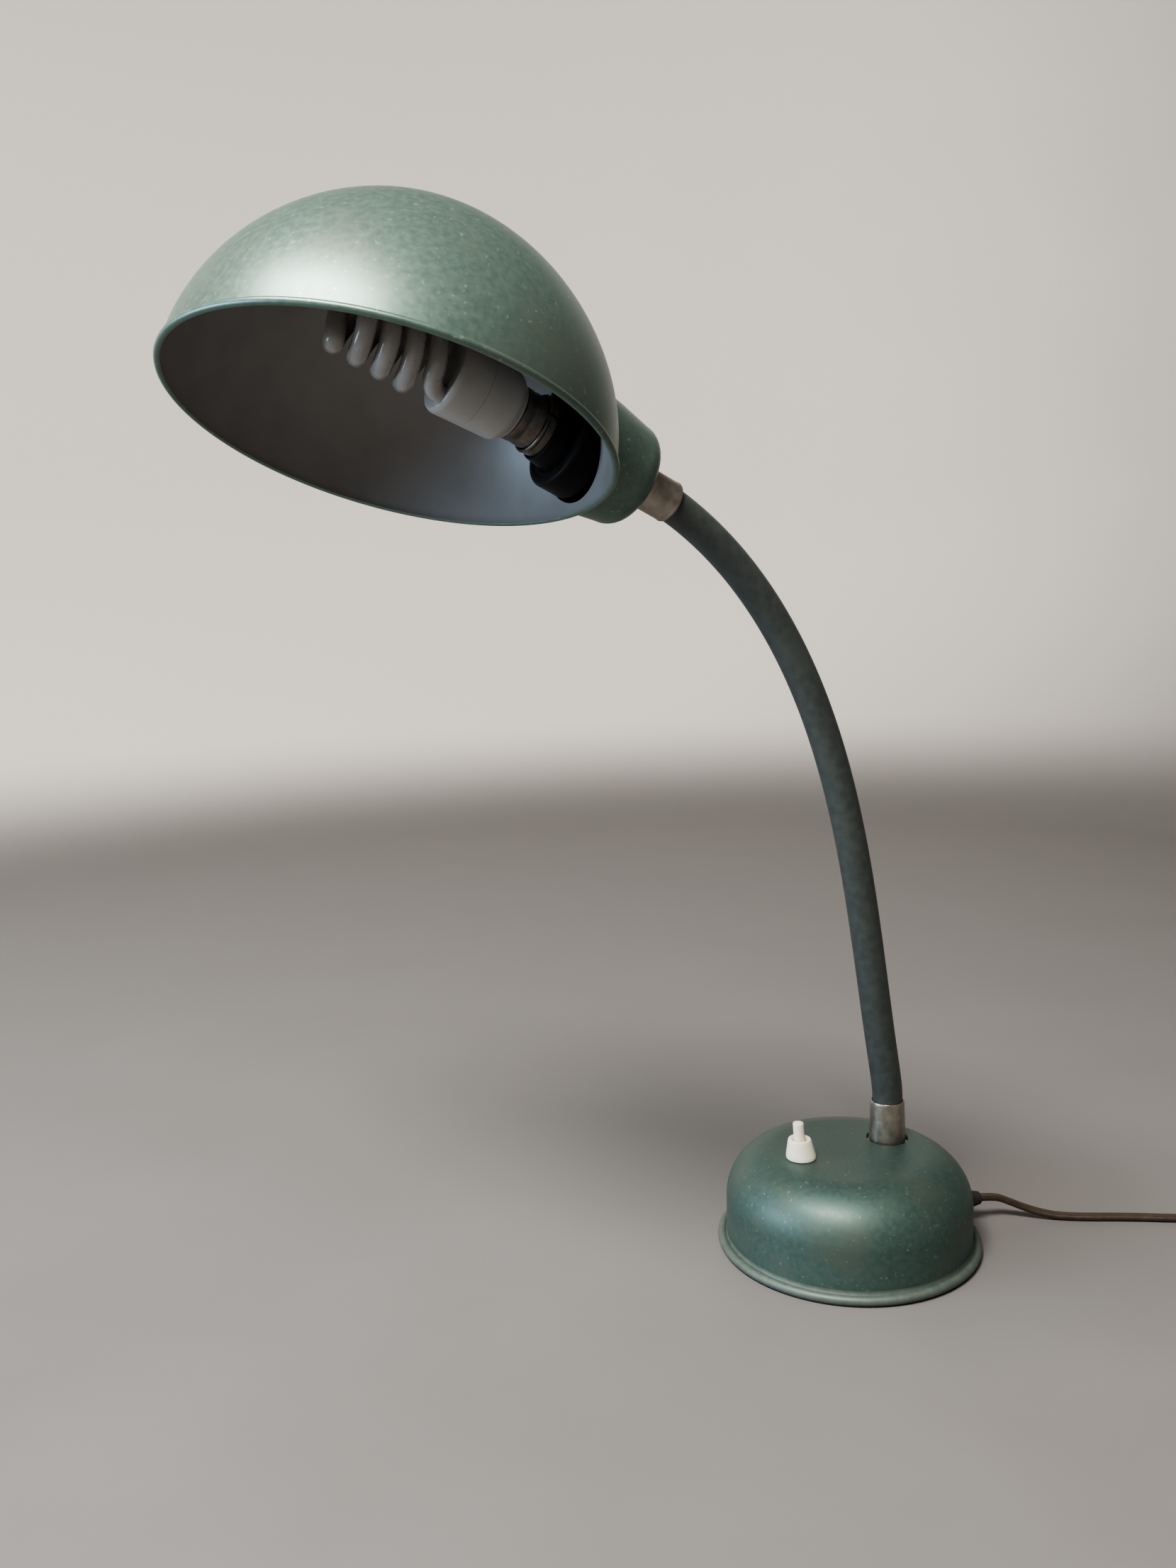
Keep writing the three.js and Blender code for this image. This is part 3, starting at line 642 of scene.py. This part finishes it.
def shade_dome():
    inner = dome_outline(DOME_RADIUS - DOME_SHEET, DOME_HEIGHT - DOME_SHEET, 44)[::-1]
    rim = arc((DOME_RADIUS, 0), 1.4, -150, 90, 12)
    profile = [*inner, *rim, *dome_outline(DOME_RADIUS, DOME_HEIGHT, 48)[1:]]
    share = len(inner) / len(profile)
    dome = turned("shade_dome_shell", profile, IN_SHADE, ["green_paint", "shaded_enamel"], 160,
                  tint=lambda done: int(done < share))
    hole = turned("cut", [(0, 2), (21.2, 2), (21.2, 75), (0, 75)], IN_HEAD, "green_paint", 80)
    return combine(dome, [hole], "DIFFERENCE")


settle(shade_dome(), "head", "green_paint", "shade_dome")


def shade_cup():
    profile = [
        (5.2, 6),
        *arc((12.9, 15), 9, -90, 0, 12),
        (23.4, 24),
        (25, 34, 4),
        (25, 60),
        (23.8, 60),
        (23.8, 34, 4),
        (22.2, 24),
        *arc((12.9, 15), 7.8, 0, -90, 12),
        (5.2, 7.2),
    ]
    cup = turned("shade_cup_shell", profile, IN_HEAD, "green_paint", 128, closed=True)
    room = 0.05
    outline = dome_outline(DOME_RADIUS + room, DOME_HEIGHT + room, 48)
    seat = [(0, -14), (86.05, -14), (86.05, 1.6), *outline[2:]]
    return combine(cup, [turned("seat", seat, IN_SHADE, "green_paint", 160)], "DIFFERENCE")


settle(shade_cup(), "head", "green_paint", "shade_cup")

ROUND_HEAD_PIECES = [
    ("head_ferrule_ring", "head_ferrule", "nickel", True, [
        (5.2, 5.7), (5.2, -2.2), (8.3, -2.2), (8.3, -13), (8.8, -13, 0.2), (9.15, -12.2, 0.4),
        (8.9, -11, 0.3), (8.9, 5.7, 0.2)]),
    ("holder_core", "holder_body", "black_bakelite", True, [
        (5.2, 11), (9, 11, 0.8), (14.5, 17, 1), (14.5, 46), (13.2, 54.4, 0.4), (12.4, 54.4, 0.3),
        (12.4, 33, 0.6), (5.2, 28)]),
    ("holder_skirt_ring", "holder_skirt", "black_bakelite", True, [
        (14.9, 33), (19.6, 33, 0.4), (20.6, 34, 0.8), (20.6, 45.2, 0.9), (19.6, 46.5, 1), (17.5, 46.5),
        (17.2, 46.1, 0.2), (14.9, 46.1, 0.3)]),
    ("bulb_body", "bulb_housing", "white_plastic", False, [
        (0, 69), (11.3, 69, 0.5), (11.6, 70, 0.6), (14.3, 73, 1.6), (15.1, 86.5), (14.95, 86.7),
        (15.15, 86.9), (15.9, 98.4, 0.9), (15.0, 100.4, 0.8), (0, 100.4)]),
]
for title, node, key, closed, profile in ROUND_HEAD_PIECES:
    settle(turned(title, profile, IN_HEAD, key, 96, closed=closed), "head", key, node)


def holder_sleeve():
    """The bayonet shell: a lip at the mouth and two slots that hook sideways at their ends."""
    profile = [(11.3, 37), (12.1, 37), (12.1, 57.6, 0.3), (12.6, 58.5, 0.4), (12.1, 59.3, 0.3),
               (11.3, 59.3, 0.2)]
    sleeve = turned("holder_sleeve_shell", profile, IN_HEAD, "dull_nickel", 96, closed=True)
    axes = [HEAD_X, HEAD_Y, HEAD_Z]
    slots = [block("slot", (46.4, -20, -1.4), (61, 20, 1.4), axes, HEAD_ORIGIN)]
    for side in (-1, 1):
        low, high = sorted((0, side * 4.4))
        slots.append(block("hook", (46.4, min(0, side * 20), low), (49.4, max(0, side * 20), high), axes,
                           HEAD_ORIGIN))
    return combine(sleeve, slots, "DIFFERENCE")


settle(holder_sleeve(), "head", "nickel", "holder_sleeve")


def bulb_cap():
    profile = [(0, 41.6), (6, 41.6), (10.2, 41.6, 0.6), (10.9, 43.2, 0.5), (10.9, 63.4), (10.6, 63.9),
               (10.6, 64.7), (10.95, 65.2), (11.1, 68, 0.4), (10.7, 68.7, 0.3), (0, 68.7)]
    cap = turned("bulb_cap_shell", profile, IN_HEAD, "dull_nickel", 96)
    at = straight(head_point(48, 0, 0), HEAD_Y, HEAD_X)
    pins = turned("pins", [(0, -11.9), (1, -11.9, 0.2), (1, 11.9, 0.2), (0, 11.9)], at, "dull_nickel", 24)
    return combine(cap, [pins], "UNION")


settle(bulb_cap(), "head", "nickel", "bulb_cap")


SPIRAL_RADIUS, SPIRAL_TUBE = 11.3, 3.8
SPIRAL_START, SPIRAL_RISE, SPIRAL_TIP = 107, 37.5, 146


def bulb_tube():
    """The double spiral: two strands wound together and joined across the top."""
    per_turn, turns, phase = 12, 1.9, math.radians(130)
    count = round(turns * per_turn)

    def at(x, angle):
        return head_point(x, SPIRAL_RADIUS * math.cos(angle), SPIRAL_RADIUS * math.sin(angle))

    def strand(start):
        coil = [at(SPIRAL_START + i * SPIRAL_RISE / count, start + i * 2 * math.pi * turns / count)
                for i in range(count + 1)]
        return [at(99.8, start - 0.42), at(103.7, start - 0.35), *coil]

    points = [*strand(phase), head_point(SPIRAL_TIP, 0, 0), *strand(phase + math.pi)[::-1]]
    return swept("bulb_spiral", smooth_line(points, 1.3), circle(SPIRAL_TUBE, 20), "frosted_glass")


settle(bulb_tube(), "head", "frosted_glass", "bulb_tube")

# ---------------------------------------------------------------- cord, its tie and its plug
bush = turned(
    "cord_bush_cone",
    [(2.6, 55), (4.0, 55, 0.3), (4.0, 61, 0.2), (5.4, 61.2, 0.3), (5.2, 63, 0.6), (3.3, 71.4, 0.4),
     (3.2, 72, 0.2), (2.6, 72, 0.2)],
    AT_BUSH, "black_rubber", 48, closed=True)
settle(bush, "base", "black_rubber", "cord_bush")

COIL = np.array([171.3, -127.0])
COIL_OUTER, COIL_TURNS, START_ANGLE = 42.0, 4, 110.0  # the first turn's radius, and turns in a layer
TURN_ROUND = 0.12  # how gently, in turns, the spiral goes from winding inwards to winding outwards
WIDTH, THICKNESS, PITCH = 5.2, 3.0, 5.3
TABLE, LOWER, UPPER = 1.6, 2.4, 5.5  # heights of the flex's centre on the table and in the coil


def step(x):
    """Rises smoothly from 0 to 1 as x does."""
    x = min(max(x, 0.0), 1.0)
    return x * x * (3 - 2 * x)


def coil_point(turn):
    """The flex after that many turns: spiralling inwards below, then back outwards above."""
    place = COIL_TURNS - math.hypot(turn - COIL_TURNS, TURN_ROUND)
    radius = COIL_OUTER - PITCH * place
    height = TABLE + (LOWER - TABLE) * step(turn / 0.3)
    height += (UPPER - LOWER) * step((turn - COIL_TURNS + 0.2) / 0.4)
    angle = math.radians(START_ANGLE - 360 * turn)
    x, y = COIL + radius * np.array([math.cos(angle), math.sin(angle)])
    return np.array([x, y, height])


def cord_line():
    out = [CORD_OUT * r + np.array([0, 0, 12.5]) for r in (70.5, 74)]
    run = [(79, -23.9, 11.2), (84.6, -26.8, 8.7), (90.3, -30.4, 5.9), (96.3, -34.8, 3.55),
           (102.4, -39.6, 2.1), (109, -44.6, TABLE), (117, -50.3, TABLE), (127.5, -57.1, TABLE),
           (138.5, -64.6, TABLE), (148.5, -71.9, TABLE), (158, -78.2, TABLE), (167.8, -83, TABLE)]
    turns = np.arange(0.07, 8.22, 1 / 36)
    tail = [(212.7, -113.2, 5.3), (217.4, -121.9, 4.3), (222.5, -130.4, 3.5), (228.1, -138.1, 4.0),
            (233.9, -144.8, 5.7), (240.3, -150.4, 6.8), (244, -153.3, 6.8)]
    return smooth_line([*out, *run, *(coil_point(t) for t in turns), *tail], 1.5)


def flex_section():
    """Two round conductors side by side, joined by a web."""
    across = WIDTH / 2 - THICKNESS / 2
    half = [(across + THICKNESS / 2 * math.cos(a), THICKNESS / 2 * math.sin(a))
            for a in np.radians(np.linspace(-118, 118, 9))]
    return half + [(-x, -y) for x, y in half]


path = cord_line()
flex = swept("mains_flex", path, flex_section(), "brown_cord", level=(0, 0, 1))
settle(flex, "base", "brown_cord", "cord_run", "cord_coil", "cord_tail")


def plug_body():
    """A flat two-pin plug: rounded sections growing from the cord to the face."""
    at = np.array([253.3, -160.2, 6.8])
    turn = math.radians(-37)
    ahead = np.array([math.cos(turn), math.sin(turn), 0])
    aside = np.array([-ahead[1], ahead[0], 0])
    sections = [(-24, 3.1, 2.6), (-23.4, 3.5, 3.0), (-16.5, 4.6, 4.2), (-14, 5.6, 5.0), (-10.5, 7.2, 6.0),
                (-7, 10.0, 6.5), (-3.5, 13.4, 6.7), (0, 15.9, 6.75), (4, 17.1, 6.75), (9, 17.5, 6.75),
                (14.6, 17.4, 6.7), (15.7, 17.0, 6.4), (16, 16.3, 5.7)]
    sides, squareness, vertices = 48, 0.55, []
    for x, wide, thick in sections:
        for c, s in circle(1, sides):
            y = wide * math.copysign(abs(c) ** squareness, c)
            z = thick * math.copysign(abs(s) ** squareness, s)
            vertices.append(at + ahead * x + aside * y + np.array([0, 0, z]))
    faces = [tuple(range(sides))[::-1], tuple(range(len(vertices) - sides, len(vertices)))]
    for j in range(len(sections) - 1):
        a, b = j * sides, (j + 1) * sides
        faces += [(a + k, a + (k + 1) % sides, b + (k + 1) % sides, b + k) for k in range(sides)]
    return mesh_object("plug_moulding", vertices, faces, "brown_plug"), at, ahead, aside


plug, plug_at, plug_ahead, plug_aside = plug_body()
settle(plug, "base", "brown_plug", "plug_body")
PIN_ROOT = 0.2  # the insulated share of a pin's profile
for number, side in ((1, -1), (2, 1)):
    foot = plug_at + plug_ahead * 16.1 + plug_aside * side * 9.5
    profile = [(0, 0), (1.95, 0), (1.95, 9.5, 0.1), (2.0, 9.7), (2.0, 18, 0.6), (1.2, 19, 0.6), (0, 19)]
    pin = turned(f"plug_prong_{number}", profile, straight(foot, plug_ahead, plug_aside),
                 ["nickel", "brown_plug"], 32, tint=lambda done: int(done < PIN_ROOT))
    settle(pin, "base", "nickel", f"plug_pin_{number}")


def cord_tie():
    """A flat band round the coil's turns."""
    out = around(1, 200)
    middle = np.array([*(COIL + out[:2] * 31.6), 4.0])
    half_width, half_height, bend = 13.9, 3.35, 1.2
    outline = []
    for a, (x, z) in zip((0, 90, 180, 270), ((1, 1), (-1, 1), (-1, -1), (1, -1))):
        corner = (x * (half_width - bend), z * (half_height - bend))
        outline += arc(corner, bend, a, a + 90, 6)
    line = [middle + out * x + np.array([0, 0, z]) for x, z in outline]
    along = np.cross((0, 0, 1), out)
    band = [(-0.3, -2.5), (0.3, -2.5), (0.3, 2.5), (-0.3, 2.5)]
    return swept("cord_tie_band", line, band, "black_rubber", level=along, loop=True)


tie = settle(cord_tie(), "base", "black_rubber", "cord_tie")

# ---------------------------------------------------------------- CAD pieces that show as they are
KEPT = {
    "plain_steel": ["ballast_nut", "foot_nut", "foot_threaded_tube", "head_threaded_tube", "head_nut"],
    "black_bakelite": ["switch_body"],
    "brass": ["holder_contact_1", "holder_contact_2"],
    "brown_cord": ["supply_lead", "neck_lead"],
}
for key, names in KEPT.items():
    for name in names:
        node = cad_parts[name]
        node.data.materials.clear()
        node.data.materials.append(FINISHES[key])

# ---------------------------------------------------------------- stage
FLOOR_RADIUS, COVE, BACKDROP_TOP, FLOOR_HEIGHT = 1150, 500, 1500, -0.2
PALER_UPWARDS = ((0, 0, 1), 0.0, 0.12)  # a direction, and how far along it the change begins and ends
PALER_BEHIND = ((0.2, 0.98, 0), 0.6, 1.5)


def stage_finish():
    """Grey underfoot, growing paler up the backdrop on the side behind the lamp."""
    made = finish("floor", (0.148, 0.139, 0.132), (0.157, 0.148, 0.141), 7, (0.6, 0.75))
    nodes, links = made.node_tree.nodes, made.node_tree.links
    shader = nodes["Principled BSDF"]
    below = shader.inputs["Base Color"].links[0].from_socket
    place = next(n for n in nodes if n.type == "TEX_COORD").outputs["Object"]
    shares = []
    for direction, near, far in (PALER_UPWARDS, PALER_BEHIND):
        along = nodes.new("ShaderNodeVectorMath")
        along.operation = "DOT_PRODUCT"
        along.inputs[1].default_value = direction
        links.new(place, along.inputs[0])
        share = nodes.new("ShaderNodeMapRange")
        share.interpolation_type = "SMOOTHSTEP"
        share.inputs["From Min"].default_value = near
        share.inputs["From Max"].default_value = far
        links.new(along.outputs["Value"], share.inputs["Value"])
        shares.append(share.outputs["Result"])
    both = nodes.new("ShaderNodeMath")
    both.operation = "MULTIPLY"
    links.new(shares[0], both.inputs[0])
    links.new(shares[1], both.inputs[1])
    mix = nodes.new("ShaderNodeMix")
    mix.data_type = "RGBA"
    mix.inputs["B"].default_value = (0.81, 0.755, 0.69, 1)
    links.new(both.outputs["Value"], mix.inputs["Factor"])
    links.new(below, mix.inputs["A"])
    links.new(mix.outputs["Result"], shader.inputs["Base Color"])
    return made


FINISHES["floor"] = stage_finish()
bowl = [(0, FLOOR_HEIGHT), (FLOOR_RADIUS, FLOOR_HEIGHT),
        *arc((FLOOR_RADIUS, FLOOR_HEIGHT + COVE), COVE, -90, 0, 24), (FLOOR_RADIUS + COVE, BACKDROP_TOP)]
floor = turned("floor", bowl, UPRIGHT, "floor", 128)

add_camera()
add_world()
add_light("lamp_above", 0.56, 1.12, 0.72, 1.15, 0.32, 68, (1.0, 0.97, 0.925))
add_light("window_left", 1.2, 0.1, 0.3, 0.7, 0.4, 11, (0.54, 0.76, 1.0))
